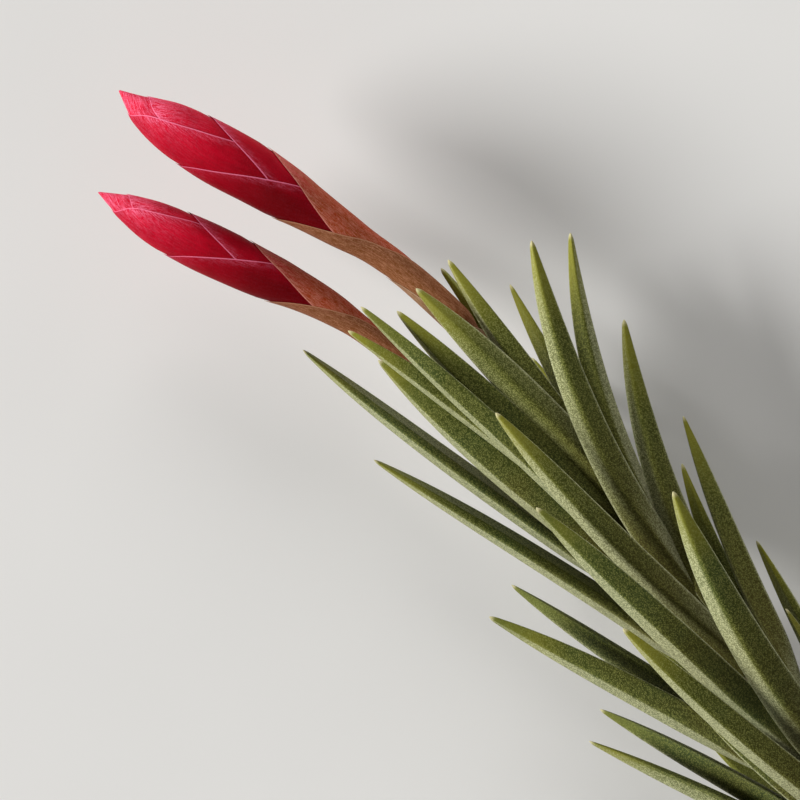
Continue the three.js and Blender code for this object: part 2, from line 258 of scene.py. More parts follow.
class TillandsiaSettings(PropertyGroup):
    """Sizes and colours of the shoot"""

    keel: FloatProperty(
        name="Keel", description="Height of a leaf's keel, in half widths",
        default=0.8, min=0.2, max=1.2)
    keel_roundness: FloatProperty(
        name="Keel roundness", description="1 for a sharp keel, 2 for a round back",
        default=1.08, min=1, max=2)
    channel: FloatProperty(
        name="Channel", description="Depth of a leaf's inner face, in half widths",
        default=0.2, min=0, max=0.5)
    leaf_green: FloatVectorProperty(
        name="Leaf green", description="Leaf under its scales",
        subtype="COLOR", default=(0.042, 0.050, 0.002))
    leaf_tip: FloatVectorProperty(
        name="Leaf tip", description="Leaf towards its tip",
        subtype="COLOR", default=(0.19, 0.18, 0.012))
    leaf_foot: FloatVectorProperty(
        name="Leaf foot", description="Leaf towards the stem",
        subtype="COLOR", default=(0.056, 0.042, 0.006))
    leaf_shade: FloatVectorProperty(
        name="Leaf shade", description="Leaf on its cooler side",
        subtype="COLOR", default=(0.024, 0.052, 0.012))
    scales: FloatVectorProperty(
        name="Scales", description="Scales seen from above",
        subtype="COLOR", default=(0.29, 0.30, 0.075))
    # Painted sheen: the scales' colour where the surface is seen aslant, and also the colour of the leaf's
    # pale edge.
    silver: FloatVectorProperty(
        name="Silver", description="Scales seen from the side",
        subtype="COLOR", default=(0.46, 0.465, 0.25))
    scale_size: FloatProperty(
        name="Scale size", description="Width of a leaf's scale",
        subtype="DISTANCE", default=0.2 * MM, min=0.1 * MM, max=1 * MM, precision=5)


class StudioSettings(PropertyGroup):
    """Floor and light"""

    floor: FloatVectorProperty(
        name="Floor", description="Colour of the floor",
        subtype="COLOR", default=(0.72, 0.71, 0.69))
    key: FloatProperty(
        name="Key light", description="Strength of the main light",
        default=4.7, min=0)
    fill: FloatProperty(
        name="Fill light", description="Strength of the second light",
        default=2.4, min=0)
    sky: FloatProperty(
        name="Sky", description="Strength of the light from all round",
        default=0.12, min=0)
    wall: FloatProperty(
        name="Wall", description="Brightness of the wall beyond the floor",
        default=0.9, min=0)


def mix(low, high, share):
    return low + (high - low) * share


def ease(value, start, end):
    """0 before start and 1 after end, with a smooth rise between them."""
    share = min(max((value - start) / (end - start), 0), 1)
    return share * share * (3 - 2 * share)


def shorter_way(turn, whole=math.tau):
    """The same turn, taken the shorter way round."""
    return (turn + whole / 2) % whole - whole / 2


def through(stations, values):
    """A smooth function of distance that has the given values at the given stations."""
    last = len(stations) - 1
    slopes = []
    for i in range(last + 1):
        before, after = max(i - 1, 0), min(i + 1, last)
        slopes.append((values[after] - values[before]) / (stations[after] - stations[before]))

    def value(x):
        x = min(max(x, stations[0]), stations[-1])
        i = min(bisect(stations, x), last) - 1
        span = stations[i + 1] - stations[i]
        t = (x - stations[i]) / span
        rise = t * t * (3 - 2 * t)
        lean = slopes[i] * (t * (1 - t) ** 2) - slopes[i + 1] * (t * t * (1 - t))
        return values[i] * (1 - rise) + values[i + 1] * rise + lean * span

    return value


def outward(degrees):
    """The direction away from the stem's axis at an angle round it."""
    angle = math.radians(degrees)
    return Vector((0, math.sin(angle), math.cos(angle)))


def put(vert, point):
    """Moves a vertex to a point that is given in millimetres from the stem's top."""
    vert.co = STEM_TOP + point * MM


def note(vert, layers, **values):
    """Writes a vertex's attributes."""
    for name, value in values.items():
        vert[layers[name]] = value


def round_blank(sides, steps, *attributes):
    """A closed tube along Z, its layers for attributes, and each vertex with its angle, its share of the
    radius and its share of the length."""
    bm = bmesh.new()
    layers = {key: bm.verts.layers.float.new(key) for key in attributes}
    bmesh.ops.create_cone(bm, cap_ends=True, segments=sides, radius1=1, radius2=1, depth=1)
    upright = [e for e in bm.edges if abs(e.verts[0].co.z - e.verts[1].co.z) > 0.5]
    bmesh.ops.subdivide_edges(bm, edges=upright, cuts=steps - 1)
    for cap in [f for f in bm.faces if len(f.verts) == sides]:
        bmesh.ops.inset_region(bm, faces=[cap], thickness=CAP_INSET, use_even_offset=False)
        bmesh.ops.poke(bm, faces=[cap])
    places = [(v, math.atan2(v.co.y, v.co.x), math.hypot(v.co.x, v.co.y), v.co.z + 0.5) for v in bm.verts]
    return bm, layers, places


def finish_piece(bm, name, node, material, rounding=0):
    """Makes a mesh the piece that stands for a node of the frame."""
    mesh = bpy.data.meshes.new(name)
    bm.to_mesh(mesh)
    bm.free()
    mesh.shade_smooth()
    mesh.materials.append(material)
    piece = bpy.data.objects.new(name, mesh)
    bpy.context.scene.collection.objects.link(piece)
    if rounding:
        smooth = piece.modifiers.new("smooth", "SUBSURF")
        smooth.levels = smooth.render_levels = rounding
    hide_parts(node)
    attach(piece, BODY)
    return piece


# Leaves

LeafLine = namedtuple("LeafLine", "point heading length")


def leaf_line(leaf):
    """A leaf's middle line, from the stem at 0 to its tip at 1."""
    root = Vector((-leaf.back, 0, 0)) + outward(leaf.side) * (STEM_RADIUS + LEAF_GAP)
    tip = Vector(leaf.tip)
    bend = Vector((0, *leaf.bend)) * 4 / 3
    near = root.lerp(tip, 1 / 3) + bend
    far = root.lerp(tip, 2 / 3) + bend

    def point(t):
        s = 1 - t
        return root * s**3 + near * (3 * s * s * t) + far * (3 * s * t * t) + tip * t**3

    def heading(t):
        s = 1 - t
        return ((near - root) * (s * s) + (far - near) * (2 * s * t) + (tip - far) * (t * t)).normalized()

    return LeafLine(point, heading, (tip - root).length)


def leaf_section(settings):
    """Each corner of a leaf's cross-section, from the keel round: across and out in half widths, and which
    face it is on, 0 for the outer and 1 for the inner."""
    def outer(x):
        return settings.keel * (1 - x**settings.keel_roundness)

    def inner(x):
        return -(1 - x) * (settings.channel + LEAF_BELLY * x)

    half = [(x, outer(x), 0) for x in LEAF_OUTER] + [(x, inner(x), 1) for x in LEAF_INNER]
    return half + [(-x, out, face) for x, out, face in reversed(half[1:-1])]


def leaf_half_width(leaf, length, along):
    """Half a leaf's width, which rises from its root to its widest part and ends in a blunt point."""
    left = (1 - along) * length
    taper = (1 - math.exp(-left / LEAF_TAPER)) / (1 - math.exp(-length / LEAF_TAPER))
    rounding = math.sqrt(1 - (1 - min(left / LEAF_POINT_ROUNDING, 1)) ** 2)
    blunt = LEAF_POINT * math.exp(-left / LEAF_POINT_LENGTH) * rounding
    full = leaf.width / 2 * mix(LEAF_ROOT_WIDTH, 1, ease(along, 0, LEAF_FULL_AT))
    return max(full * taper + blunt, LEAF_LEAST)


def leaf_tone(leaf, number):
    """How cool a leaf's green is, from -1 to 1."""
    side = LEAF_TONE_OF_SIDE * math.sin(math.radians(leaf.side))
    return side + LEAF_TONE_OF_NUMBER * math.sin(number * LEAF_TONE_STEP)


def make_leaf(leaf, number, settings, material):
    """A keeled leaf, which turns from its side of the stem to its own facing."""
    line = leaf_line(leaf)
    section = leaf_section(settings)
    bm, layers, places = round_blank(
        len(section), LEAF_STEPS, "across", "edge", "inner", "from_tip", "from_root", "tone")
    turn = shorter_way(leaf.facing - leaf.side, 360)
    tone = leaf_tone(leaf, number)
    for vert, angle, radius, share in places:
        along = 1 - (1 - share) ** LEAF_CROWDING
        left = (1 - along) * line.length
        heading = line.heading(along)
        face = outward(leaf.side + turn * ease(along, 0, LEAF_TURNED_AT))
        face = (face - heading * face.dot(heading)).normalized()
        aside = heading.cross(face)
        half = leaf_half_width(leaf, line.length, along)
        depth = mix(LEAF_ROOT_DEPTH, 1, ease(along, 0, LEAF_FULL_AT))
        x, out, inner = section[round(angle / math.tau * len(section)) % len(section)]
        across, height = x * half * radius, out * half * depth * radius
        put(vert, line.point(along) + aside * across + face * height)
        note(vert, layers, across=across, edge=abs(x), inner=inner, tone=tone)
        note(vert, layers, from_tip=left, from_root=line.length - left)
    bmesh.ops.recalc_face_normals(bm, faces=bm.faces)
    node = f"leaf_{number:02d}"
    finish_piece(bm, f"{node}_blade", node, material, rounding=1)


# Spikes


class Spike:
    """The line, the outline and the layers of one spike. Distances run back from its tip."""

    outline = staticmethod(through(*zip(*SPIKE_OUTLINE)))

    def __init__(self, name):
        self.girth, line = SPIKE_LINES[name]
        points = [Vector(p) for p in line]
        stations = [0]
        for a, b in zip(points, points[1:]):
            stations.append(stations[-1] + (b - a).length)
        self.length = stations[-1]
        self.middle = through(stations, points)

    def radius(self, back):
        """The spike's radius over all its bracts."""
        return self.girth * self.outline(back)

    def layer(self, back):
        """How far a bract sinks under each one outside it."""
        return BRACT_LAYER * min(1, self.radius(back) / FULL_LAYERS_AT)

    def stalk(self, back):
        """The stalk's radius."""
        return mix(SCAPE_CORE_RADIUS, SCAPE_RADIUS, ease(back, *SCAPE_WIDENS))

    def reach(self, bract, back):
        """The angle from a bract's middle to its edge."""
        past = max(back - bract.tip, 0)
        width = bract.breadth * math.sqrt(past) * (1 - math.exp(-past / BRACT_POINT))
        closed = ease(back, bract.closed - BRACT_CLOSES_OVER, bract.closed)
        return min(mix(width / self.radius(back), math.pi, closed), BRACT_WRAP)

    def cover(self, bract, back, angle):
        """1 under a bract, and 0 further from its edge than it presses."""
        turn = abs(shorter_way(angle - math.radians(bract.side)))
        beyond = (turn - self.reach(bract, back)) * self.radius(back)
        if back < bract.tip:
            beyond = math.hypot(turn * self.radius(back), bract.tip - back)
        return 1 - ease(beyond, 0, BRACT_SPREAD)

    def surface(self, back, angle, outer):
        """The radius of a layer that lies under the outer bracts."""
        depth = sum(self.cover(bract, back, angle) for bract in outer)
        return self.radius(back) - self.layer(back) * depth

    def point(self, back, angle, radius):
        """The place at an angle round the spike, 0 for its +Y side, and at a radius from its line."""
        at = self.length - back
        ahead = (self.middle(at + HEADING_SPAN) - self.middle(at - HEADING_SPAN)).normalized()
        side = UP.cross(ahead).normalized()
        top = ahead.cross(side)
        return self.middle(at) + side * (radius * math.cos(angle)) + top * (radius * math.sin(angle))


# What a bract's finish reads: distances across it and from its margin, its tip and its spike's tip, and its
# tone, from 1 on its spike's +Y side to -1 on the other, which places its painted shade and painted light.
BRACT_ATTRIBUTES = ("across", "margin", "from_tip", "from_spike_tip", "tone")


def stand_off(bract, back, margin):
    """How far a bract's tip and margins stand off the spike."""
    tip = TIP_LIFT * (1 - ease(back - bract.tip, 0, TIP_LIFTS_OVER))
    return tip + MARGIN_LIFT * (1 - ease(margin, 0, MARGIN_LIFTS_OVER))


def face_away(bm, middle):
    """Turns the faces of a wrapped sheet away from a point inside it."""
    bmesh.ops.recalc_face_normals(bm, faces=bm.faces)
    nearest = min(bm.faces, key=lambda f: (f.calc_center_median() - middle).length)
    if nearest.normal.dot(nearest.calc_center_median() - middle) < 0:
        bmesh.ops.reverse_faces(bm, faces=bm.faces)


def make_bract(spike, name, index, material):
    """A bract wrapped round the spike, pressed in by those outside it, and thinner at its margins."""
    bract = BRACTS[index]
    bm = bmesh.new()
    layers = {key: bm.verts.layers.float.new(key) for key in BRACT_ATTRIBUTES}
    weights = bm.verts.layers.deform.verify()
    bmesh.ops.create_grid(bm, x_segments=BRACT_ACROSS, y_segments=BRACT_ALONG, size=1)
    for vert in bm.verts:
        x = math.sin(vert.co.x * math.pi / 2)
        share = (1 - vert.co.y) / 2
        back = mix(bract.tip, bract.base, share**BRACT_CROWDING)
        reach = spike.reach(bract, back)
        angle = math.radians(bract.side) + x * reach
        margin = (1 - abs(x)) * reach * spike.radius(back)
        lift = stand_off(bract, back, margin) * min(1, spike.radius(back))
        radius = spike.surface(back, angle, BRACTS[:index]) + lift
        seat = ease(back, bract.base - BRACT_SEATS, bract.base)
        radius = mix(radius, spike.stalk(back) + BRACT_WALL, seat)
        put(vert, spike.point(back, angle, radius))
        note(vert, layers, across=x * reach * spike.radius(back), margin=margin, tone=math.cos(angle))
        note(vert, layers, from_tip=back - bract.tip, from_spike_tip=back)
        vert[weights][0] = ease(margin, 0, BRACT_THINS_OVER)
    bmesh.ops.remove_doubles(bm, verts=bm.verts, dist=WELD)
    face_away(bm, STEM_TOP + spike.point((bract.tip + bract.base) / 2, 0, 0) * MM)
    node = f"{name}_bract_{index + 1}"
    piece = finish_piece(bm, f"{node}_blade", node, material)
    piece.vertex_groups.new(name="thickness")
    wall = piece.modifiers.new("wall", "SOLIDIFY")
    wall.thickness = BRACT_WALL * MM
    wall.offset = -1
    wall.vertex_group = "thickness"
    wall.thickness_vertex_group = BRACT_THIN


def make_bud(spike, name, material):
    """The closed bud that fills the top of the spike, under all its bracts."""
    bm, layers, places = round_blank(BUD_SIDES, BUD_STEPS, *BRACT_ATTRIBUTES)
    for vert, angle, radius, share in places:
        back = BUD_LENGTH * share**BUD_CROWDING
        full = max(spike.surface(back, angle, BRACTS) - BUD_SINK, BUD_LEAST)
        full = mix(full, spike.stalk(back), ease(back, BUD_LENGTH - BUD_SEATS, BUD_LENGTH))
        put(vert, spike.point(back, angle, full * radius))
        note(vert, layers, across=shorter_way(angle) * full, margin=FAR_FROM_MARGIN, tone=0)
        note(vert, layers, from_tip=back, from_spike_tip=back)
    bmesh.ops.recalc_face_normals(bm, faces=bm.faces)
    node = f"{name}_bud"
    finish_piece(bm, f"{node}_shell", node, material)


def make_scape(spike, name, material):
    """The stalk from the bud down to the stem's top."""
    bm, layers, places = round_blank(SCAPE_SIDES, SCAPE_STEPS, *BRACT_ATTRIBUTES)
    for vert, angle, radius, share in places:
        back = mix(BUD_LENGTH, spike.length, share) - SCAPE_OVERLAP
        full = spike.stalk(back)
        put(vert, spike.point(back, angle, full * radius))
        note(vert, layers, across=angle * full, margin=FAR_FROM_MARGIN, tone=0)
        note(vert, layers, from_tip=back, from_spike_tip=back)
    bmesh.ops.recalc_face_normals(bm, faces=bm.faces)
    node = f"{name}_scape"
    finish_piece(bm, f"{node}_stalk", node, material, rounding=1)


# Stem


def make_stem(material):
    """The stem, with grain and rings in its bark, a domed top and a rough cut."""
    bm, layers, places = round_blank(STEM_SIDES, STEM_STEPS, "from_top", "cut", "across")
    for vert, angle, radius, share in places:
        back = share * STEM_LENGTH
        direction = outward(math.degrees(angle))
        around = Vector((math.cos(angle), math.sin(angle), 0))
        dome = math.sqrt(max(0, 1 - (1 - min(back / STEM_DOME, 1)) ** 2))
        grain = noise.noise(around * GRAIN_FINENESS + UP * (back / GRAIN_LENGTH))
        ring = 0.5 + 0.5 * math.cos(back / RING_STEP * math.tau + GRAIN_BENDS_RINGS * grain)
        bark = BARK_RADIUS + BARK_GRAIN * grain + BARK_RINGS * ring
        full = STEM_RADIUS * mix(STEM_DOME_TOP, 1, dome) * bark
        cut = share == 1 and radius < CUT_RIM
        end = CUT_ROUGHNESS * noise.noise(around * (radius * CUT_FINENESS)) if cut else 0
        put(vert, Vector((-back - end, 0, 0)) + direction * (full * radius))
        note(vert, layers, across=angle * full, from_top=back, cut=cut)
    bmesh.ops.recalc_face_normals(bm, faces=bm.faces)
    finish_piece(bm, "stem_bark", "stem", material, rounding=1)


# Materials

# Lengths here are in millimetres too, like the attributes that the materials read.
# Where the leaves' painted sheen starts and where it is full.
SEEN_ASLANT = (0.12, 0.46)  # from a surface that faces the eye to one turned well away from it
SCALE_EDGES = (0.62, 0.2)  # from its cell's middle, in cells, where a scale ends and where it is full
SCALE_SHOWS = (0.85, 1.25)  # the cover plus a cell's random number, where its scale starts and is full
LINE_EDGES = (0.35, 0.65)  # of the noise, where a line starts and where it is full
LINE_LENGTH = 40.0  # of the fine lines along a piece, in their own spacings
LEAF_LINE = (0.03, 0.04, 0.005)
DRY_POINT = (0.58, 0.52, 0.32)
BARK = (0.06, 0.045, 0.02)
BARK_LINE = (0.15, 0.11, 0.055)
BARK_PATCH = (0.20, 0.16, 0.09)
WOOD = (0.42, 0.36, 0.20)
WOOD_FIBRE = (0.26, 0.20, 0.10)
FLOOR_MOTTLE = 60  # size of the floor's faint patches
FLOOR_DARKER = 0.97

# Where a Mix node has its factor, its two colours and its result, among sockets with the same names.
MIX_FACTOR = 0
MIX_COLOURS = (6, 7)
MIX_RESULT = 2

# A bract's finish: its colour near the spike's tip, past the distances of change, and past those where it
# deepens, then its margin, those distances from the spike's tip, how much pale scurf lies on it, of which
# ground lies everywhere, and how much its streaks darken it. The deepest colour also paints shade on the +Y
# side.
FINISHES = {
    "crimson": dict(
        tip=(0.60, 0.002, 0.024),
        base=(0.40, 0.001, 0.012),
        deep_and_shade=(0.105, 0.0005, 0.001),
        margin=(0.86, 0.21, 0.35),
        change=(4, 18),
        deepens=(14, 27),
        scurf=1.0,
        ground=0.02,
        streak=0.15,
    ),
    "salmon": dict(
        tip=(0.39, 0.013, 0.026),
        base=(0.30, 0.033, 0.008),
        deep_and_shade=(0.22, 0.065, 0.015),
        margin=(0.68, 0.26, 0.20),
        change=(22, 32),
        deepens=(32, 44),
        scurf=0.9,
        ground=0.5,
        streak=0.4,
    ),
    "tan": dict(
        tip=(0.23, 0.065, 0.035),
        base=(0.17, 0.05, 0.018),
        deep_and_shade=(0.155, 0.055, 0.014),
        margin=(0.45, 0.21, 0.12),
        change=(28, 38),
        deepens=(38, 52),
        scurf=0.9,
        ground=0.65,
        streak=0.5,
    ),
    "straw": dict(
        tip=(0.30, 0.13, 0.08),
        base=(0.22, 0.11, 0.05),
        deep_and_shade=(0.16, 0.09, 0.03),
        margin=(0.42, 0.28, 0.18),
        change=(44, 54),
        deepens=(52, 66),
        scurf=0.8,
        ground=0.6,
        streak=0.5,
    ),
}


def connect(tree, value, socket):
    """Links a socket to an input, or gives the input a plain value."""
    if isinstance(value, bpy.types.NodeSocket):
        tree.links.new(value, socket)
    else:
        socket.default_value = value


def set_inputs(tree, node, **inputs):
    """Gives a node's inputs, by name, plain values or sockets to link."""
    for key, value in inputs.items():
        connect(tree, value, node.inputs[key.replace("_", " ")])


def add_node(tree, kind, settings=None, **inputs):
    """Adds a node with its settings and its inputs."""
    node = tree.nodes.new(kind)
    for key, value in (settings or {}).items():
        setattr(node, key, value)
    set_inputs(tree, node, **inputs)
    return node


def attribute(tree, name):
    """A number that the pieces' vertices carry."""
    return add_node(tree, "ShaderNodeAttribute", {"attribute_name": name}).outputs["Fac"]


def maths(tree, operation, result, *others):
    """One value worked out from two or more, in their order."""
    for other in others:
        node = add_node(tree, "ShaderNodeMath", {"operation": operation})
        connect(tree, result, node.inputs[0])
        connect(tree, other, node.inputs[1])
        result = node.outputs[0]
    return result


def fade(tree, value, start, end, low=0.0, high=1.0):
    """Low before start and high after end, with a smooth change between them."""
    ramp = add_node(tree, "ShaderNodeMapRange", {"interpolation_type": "SMOOTHSTEP"},
                    Value=value, From_Min=start, From_Max=end, To_Min=low, To_Max=high)
    return ramp.outputs["Result"]


def blend(tree, factor, *colours):
    """A colour between two, each a socket or its red, green and blue."""
    node = add_node(tree, "ShaderNodeMix", {"data_type": "RGBA"})
    connect(tree, factor, node.inputs[MIX_FACTOR])
    for colour, index in zip(colours, MIX_COLOURS):
        linked = isinstance(colour, bpy.types.NodeSocket)
        connect(tree, colour if linked else (*colour, 1), node.inputs[index])
    return node.outputs[MIX_RESULT]


def place(tree):
    """Where a point is on its piece, in metres."""
    return add_node(tree, "ShaderNodeTexCoord").outputs["Object"]


def patches(tree, size, detail=2.0):
    """Soft patches about as wide as size."""
    pattern = add_node(tree, "ShaderNodeTexNoise", Vector=place(tree), Scale=1 / (size * MM), Detail=detail)
    return pattern.outputs["Fac"]


def strokes(tree, across, along, width, length, detail):
    """Soft strokes of a width and a length, from the distances across a piece and along it."""
    point = add_node(tree, "ShaderNodeCombineXYZ",
                     X=maths(tree, "DIVIDE", across, width), Y=maths(tree, "DIVIDE", along, length))
    pattern = add_node(tree, "ShaderNodeTexNoise", {"noise_dimensions": "2D"},
                       Vector=point.outputs[0], Scale=1.0, Detail=detail)
    return pattern.outputs["Fac"]


def new_group(name, inputs):
    """A shader node group that makes a mask. Its inputs come with their defaults, or None for a vector."""
    group = bpy.data.node_groups.new(name, "ShaderNodeTree")
    for key, default in inputs.items():
        kind = "NodeSocketVector" if default is None else "NodeSocketFloat"
        socket = group.interface.new_socket(key, in_out="INPUT", socket_type=kind)
        if default is not None:
            socket.default_value = default
    group.interface.new_socket("Mask", in_out="OUTPUT", socket_type="NodeSocketFloat")
    given = add_node(group, "NodeGroupInput").outputs
    mask = add_node(group, "NodeGroupOutput").inputs["Mask"]
    return group, given, mask


def scales_group():
    """Small round scales of a size in millimetres, more of them where the cover is higher."""
    group, given, mask = new_group("scales", {"Vector": None, "Size": 0.25, "Cover": 0.6})
    density = maths(group, "DIVIDE", 1 / MM, given["Size"])
    cells = add_node(group, "ShaderNodeTexVoronoi", Vector=given["Vector"], Scale=density, Randomness=0.9)
    chance = add_node(group, "ShaderNodeSeparateColor", Color=cells.outputs["Color"]).outputs[0]
    low, high = (maths(group, "SUBTRACT", limit, given["Cover"]) for limit in SCALE_SHOWS)
    disc = fade(group, cells.outputs["Distance"], *SCALE_EDGES)
    group.links.new(maths(group, "MULTIPLY", disc, fade(group, chance, low, high)), mask)
    return group


def lines_group():
    """Fine lines that run along a piece, from the distances across it and along it."""
    group, given, mask = new_group("long_lines", {"Across": 0.0, "Along": 0.0, "Spacing": 0.3})
    length = maths(group, "MULTIPLY", given["Spacing"], LINE_LENGTH)
    pattern = strokes(group, given["Across"], given["Along"], given["Spacing"], length, 2.0)
    group.links.new(fade(group, pattern, *LINE_EDGES), mask)
    return group


GROUPS = {"scales": scales_group, "long_lines": lines_group}


def shared_mask(tree, name, **inputs):
    """What a shared group makes of its inputs. The group is made the first time that it is asked for."""
    group = bpy.data.node_groups.get(name) or GROUPS[name]()
    return add_node(tree, "ShaderNodeGroup", {"node_tree": group}, **inputs).outputs["Mask"]


def new_material(name):
    material = bpy.data.materials.new(name)
    material.use_nodes = True
    tree = material.node_tree
    return material, tree, tree.nodes["Principled BSDF"]


def relief(tree, height, depth):
    """The normals of a surface that is raised by up to depth millimetres where height is 1."""
    return add_node(tree, "ShaderNodeBump", Height=height, Distance=depth * MM).outputs["Normal"]


def leaf_material(settings):
    """Green, yellower at the tip and browner at the foot, under scales and a fine dust. A painted sheen in
    the base colour turns the scales silver and thickens their cover where the surface is seen aslant."""
    material, tree, shader = new_material("silvery leaf")
    edge, tone, inner = (attribute(tree, key) for key in ("edge", "tone", "inner"))
    from_tip, from_root = attribute(tree, "from_tip"), attribute(tree, "from_root")
    # Painted sheen: how aslant the surface is seen, less so on its inner face. It turns the scales' colour
    # silver and thickens their cover in the base colour.
    aslant = add_node(tree, "ShaderNodeLayerWeight", Blend=0.5).outputs["Facing"]
    aslant = maths(tree, "MULTIPLY", aslant, fade(tree, inner, 0, 1, 1, 0.45))

    yellow = fade(tree, from_tip, 1, 14, 1, 0)
    brown = fade(tree, from_root, 8, 44, 0.9, 0)
    cool = maths(tree, "ADD", patches(tree, 9), maths(tree, "MULTIPLY", tone, 0.3))
    cool = fade(tree, cool, 0.45, 0.85, 0, 0.6)
    line = shared_mask(tree, "long_lines", Across=attribute(tree, "across"), Along=from_tip, Spacing=0.32)
    green = blend(tree, yellow, settings.leaf_green, settings.leaf_tip)
    green = blend(tree, brown, green, settings.leaf_foot)
    green = blend(tree, cool, green, settings.leaf_shade)
    green = blend(tree, maths(tree, "MULTIPLY", line, 0.15), green, LEAF_LINE)

    flakes = shared_mask(tree, "scales", Vector=place(tree), Size=settings.scale_size / MM, Cover=0.9)
    dust = fade(tree, patches(tree, 0.4, 3), 0.35, 0.7, 0, 0.25)
    # Painted sheen: more scale cover where the surface is seen aslant.
    painted_sheen = fade(tree, aslant, *SEEN_ASLANT, 0, 0.25)
    thin_foot = fade(tree, from_root, 2, 34, 0.6, 1)
    # Painted sheen: thinner scale cover where the surface faces the eye.
    painted_sheen_thinning = fade(tree, aslant, *SEEN_ASLANT, 0.65, 1)
    thin_tip = fade(tree, from_tip, 1, 10, 0.5, 1)
    cover = maths(tree, "ADD", maths(tree, "MULTIPLY", flakes, 0.75), dust, painted_sheen)
    cover = maths(tree, "MULTIPLY", cover, thin_foot, painted_sheen_thinning, thin_tip)
    # Painted sheen: the scales' colour turns silver where the surface is seen aslant.
    scale_with_sheen = blend(tree, fade(tree, aslant, *SEEN_ASLANT), settings.scales, settings.silver)

    pale_edge = fade(tree, edge, 0.92, 1, 0, 0.3)
    dry_point = fade(tree, from_tip, 1, 0.1, 0, 0.6)
    colour = blend(tree, cover, green, scale_with_sheen)
    colour = blend(tree, pale_edge, colour, settings.silver)
    colour = blend(tree, dry_point, colour, DRY_POINT)
    set_inputs(
        tree, shader,
        Base_Color=colour,
        Roughness=fade(tree, flakes, 0, 1, 0.6, 0.8),
        Specular_IOR_Level=0.15,
        Sheen_Weight=0.12,
        Sheen_Roughness=0.45,
        Sheen_Tint=(0.9, 0.95, 0.75, 1),
        Normal=relief(tree, flakes, 0.03))
    return material


def bract_material(name, tip, base, deep_and_shade, margin, change, deepens, scurf, ground, streak):
    """One of the FINISHES, with painted shade that deepens it on its spike's +Y side, and painted light
    from fuller pale scurf on its -Y side.
    """
    material, tree, shader = new_material(name)
    across, edge, tone = (attribute(tree, key) for key in ("across", "margin", "tone"))
    along, from_tip = attribute(tree, "from_spike_tip"), attribute(tree, "from_tip")

    # Painted shade: the spike's +Y side is drawn towards the deep colour.
    side = fade(tree, tone, 0.1, 0.9, 0, 0.3)
    # Towards the spike's base the deep colour spreads, partly as the bracts' own deeper base and partly as
    # painted shade, strongest on the +Y side.
    lower = fade(tree, along, *deepens, 0, 0.9)
    lower = maths(tree, "MULTIPLY", lower, fade(tree, tone, -0.7, 0.3, 0.15, 1))
    blotches = fade(tree, patches(tree, 2.5, 4), 0.4, 0.7, 0, 0.2)
    line = shared_mask(tree, "long_lines", Across=across, Along=from_tip, Spacing=0.28)
    colour = blend(tree, fade(tree, along, *change), tip, base)
    for share in (side, lower, blotches, maths(tree, "MULTIPLY", line, streak)):
        colour = blend(tree, share, colour, deep_and_shade)

    flakes = shared_mask(tree, "scales", Vector=place(tree), Size=0.2, Cover=0.8)
    silk = fade(tree, strokes(tree, across, from_tip, 0.15, 1.2, 3.0), 0.35, 0.7, 0, 0.6)
    near_spike_tip = fade(tree, along, 16, 2, 0, 0.5)
    near_own_tip = fade(tree, from_tip, 7, 0.5, 0, 0.4)
    near_margin = fade(tree, edge, 1.4, 0.2, 0, 0.28)
    # Painted light: the pale scurf is full on the spike's -Y side and thins to a quarter on its +Y side.
    painted_light_side = fade(tree, tone, -0.3, 0.8, 1, 0.25)
    lying = maths(tree, "ADD", near_spike_tip, near_own_tip, near_margin)
    lying = maths(tree, "ADD", maths(tree, "MULTIPLY", lying, painted_light_side), ground)
    pale = maths(tree, "ADD", maths(tree, "MULTIPLY", flakes, 0.4), silk)
    rim = fade(tree, edge, 0.22, 0.05, 0, 0.7)
    colour = blend(tree, maths(tree, "MULTIPLY", pale, lying, scurf), colour, margin)
    colour = blend(tree, rim, colour, margin)
    set_inputs(
        tree, shader,
        Base_Color=colour,
        Roughness=0.55,
        Specular_IOR_Level=0.04,
        Normal=relief(tree, flakes, 0.015))
    return material


def bract_finish(key):
    """The material of a finish, made the first time that it is asked for."""
    name = f"{key} bract"
    return bpy.data.materials.get(name) or bract_material(name, **FINISHES[key])


def stem_material():
    """Lined and patched bark, and pale fibrous wood in the cut."""
    material, tree, shader = new_material("stem bark")
    cut, along, across = (attribute(tree, key) for key in ("cut", "from_top", "across"))
    line = shared_mask(tree, "long_lines", Across=across, Along=along, Spacing=0.35)
    bark = blend(tree, line, BARK, BARK_LINE)
    bark = blend(tree, fade(tree, patches(tree, 3), 0.4, 0.7, 0, 0.6), bark, BARK_PATCH)
    wood = blend(tree, fade(tree, patches(tree, 0.35, 3), 0.4, 0.6), WOOD, WOOD_FIBRE)
    set_inputs(
        tree, shader,
        Base_Color=blend(tree, cut, bark, wood),
        Roughness=0.85,
        Normal=relief(tree, line, 0.08))
    return material


def floor_material(colour):
    """Matt and very faintly mottled."""
    material, tree, shader = new_material("pale floor")
    mottle = fade(tree, patches(tree, FLOOR_MOTTLE), 0.3, 0.7)
    darker = [FLOOR_DARKER * c for c in colour]
    set_inputs(tree, shader, Base_Color=blend(tree, mottle, colour, darker), Roughness=0.9)
    return material


# Operators


class TILLANDSIA_OT_stem(Operator):
    """Make the stem, with its bark and its cut end"""

    bl_idname = "tillandsia.stem"
    bl_label = "Stem"

    def execute(self, context):
        make_stem(stem_material())
        return {"FINISHED"}


class TILLANDSIA_OT_leaves(Operator):
    """Make every leaf"""

    bl_idname = "tillandsia.leaves"
    bl_label = "Leaves"

    def execute(self, context):
        settings = context.scene.tillandsia
        material = leaf_material(settings)
        for number, leaf in enumerate(LEAVES, 1):
            make_leaf(leaf, number, settings, material)
        return {"FINISHED"}


